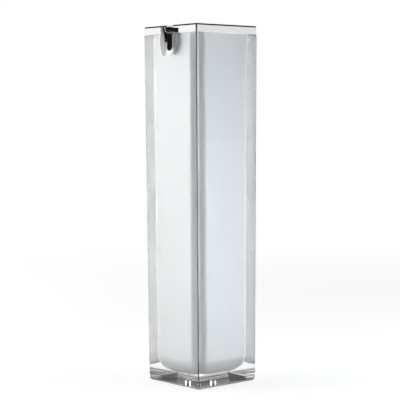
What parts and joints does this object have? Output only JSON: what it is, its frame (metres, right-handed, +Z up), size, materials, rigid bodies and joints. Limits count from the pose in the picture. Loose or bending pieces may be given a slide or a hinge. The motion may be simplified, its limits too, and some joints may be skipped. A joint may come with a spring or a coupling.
{
  "type": "airless pump bottle",
  "caption": "Slim square airless pump bottle: clear acrylic shell over a satin liner, chromed top frame with push button and side spout, inner reservoir with a rising follower piston.",
  "frame": {"origin": "middle of the flat underside, on the bottle's upright axis", "axes": "+Z up along the bottle; the spout points along -X"},
  "size_m": [0.0372, 0.033, 0.147],
  "materials": {
    "clear_acrylic": "clear, polished",
    "satin_liner": "satin pearl",
    "chrome": "mirror polished",
    "white_plastic": "moulded",
    "black_plastic": "moulded",
    "natural_plastic": "translucent, moulded",
    "soft_plastic": "soft, moulded",
    "seal_rubber": "matte",
    "spring_steel": "drawn wire",
    "ball_steel": "polished"
  },
  "bodies": {
    "bottle": {"outer_shell": "clear_acrylic", "inner_liner": "satin_liner", "slot_bezel": "chrome", "cap_frame": "chrome", "reservoir": "natural_plastic", "reservoir_base": "white_plastic", "retainer_plate": "white_plastic", "pump_collar": "white_plastic", "neck_gasket": "seal_rubber", "pump_housing": "natural_plastic", "stem_guide": "white_plastic", "ball_cage": "white_plastic", "return_spring": "spring_steel"},
    "actuator": {"button_plate": "chrome", "actuator_core": "black_plastic", "spout": "chrome", "nozzle_tube": "natural_plastic", "stem": "white_plastic", "pump_piston": "soft_plastic", "spring_cup": "white_plastic"},
    "outlet_valve": {"outlet_ball": "ball_steel"},
    "inlet_valve": {"inlet_ball": "ball_steel"},
    "follower": {"follower_piston": "soft_plastic"}
  },
  "joints": [
    {"name": "press_stroke", "type": "slide", "parent": "bottle", "child": "actuator", "axis": [0, 0, -1], "range_m": [0, 0.0055], "stiffness_N_per_m": 1000, "springref_m": -0.006, "deforming": ["return_spring"]},
    {"name": "follower_rise", "type": "slide", "parent": "bottle", "child": "follower", "axis": [0, 0, 1], "range_m": [0, 0.0859]},
    {"name": "inlet_lift", "type": "slide", "parent": "bottle", "child": "inlet_valve", "axis": [0, 0, 1], "range_m": [0, 0.0009]},
    {"name": "outlet_lift", "type": "slide", "parent": "actuator", "child": "outlet_valve", "axis": [0, 0, 1], "range_m": [0, 0.0008]}
  ]
}
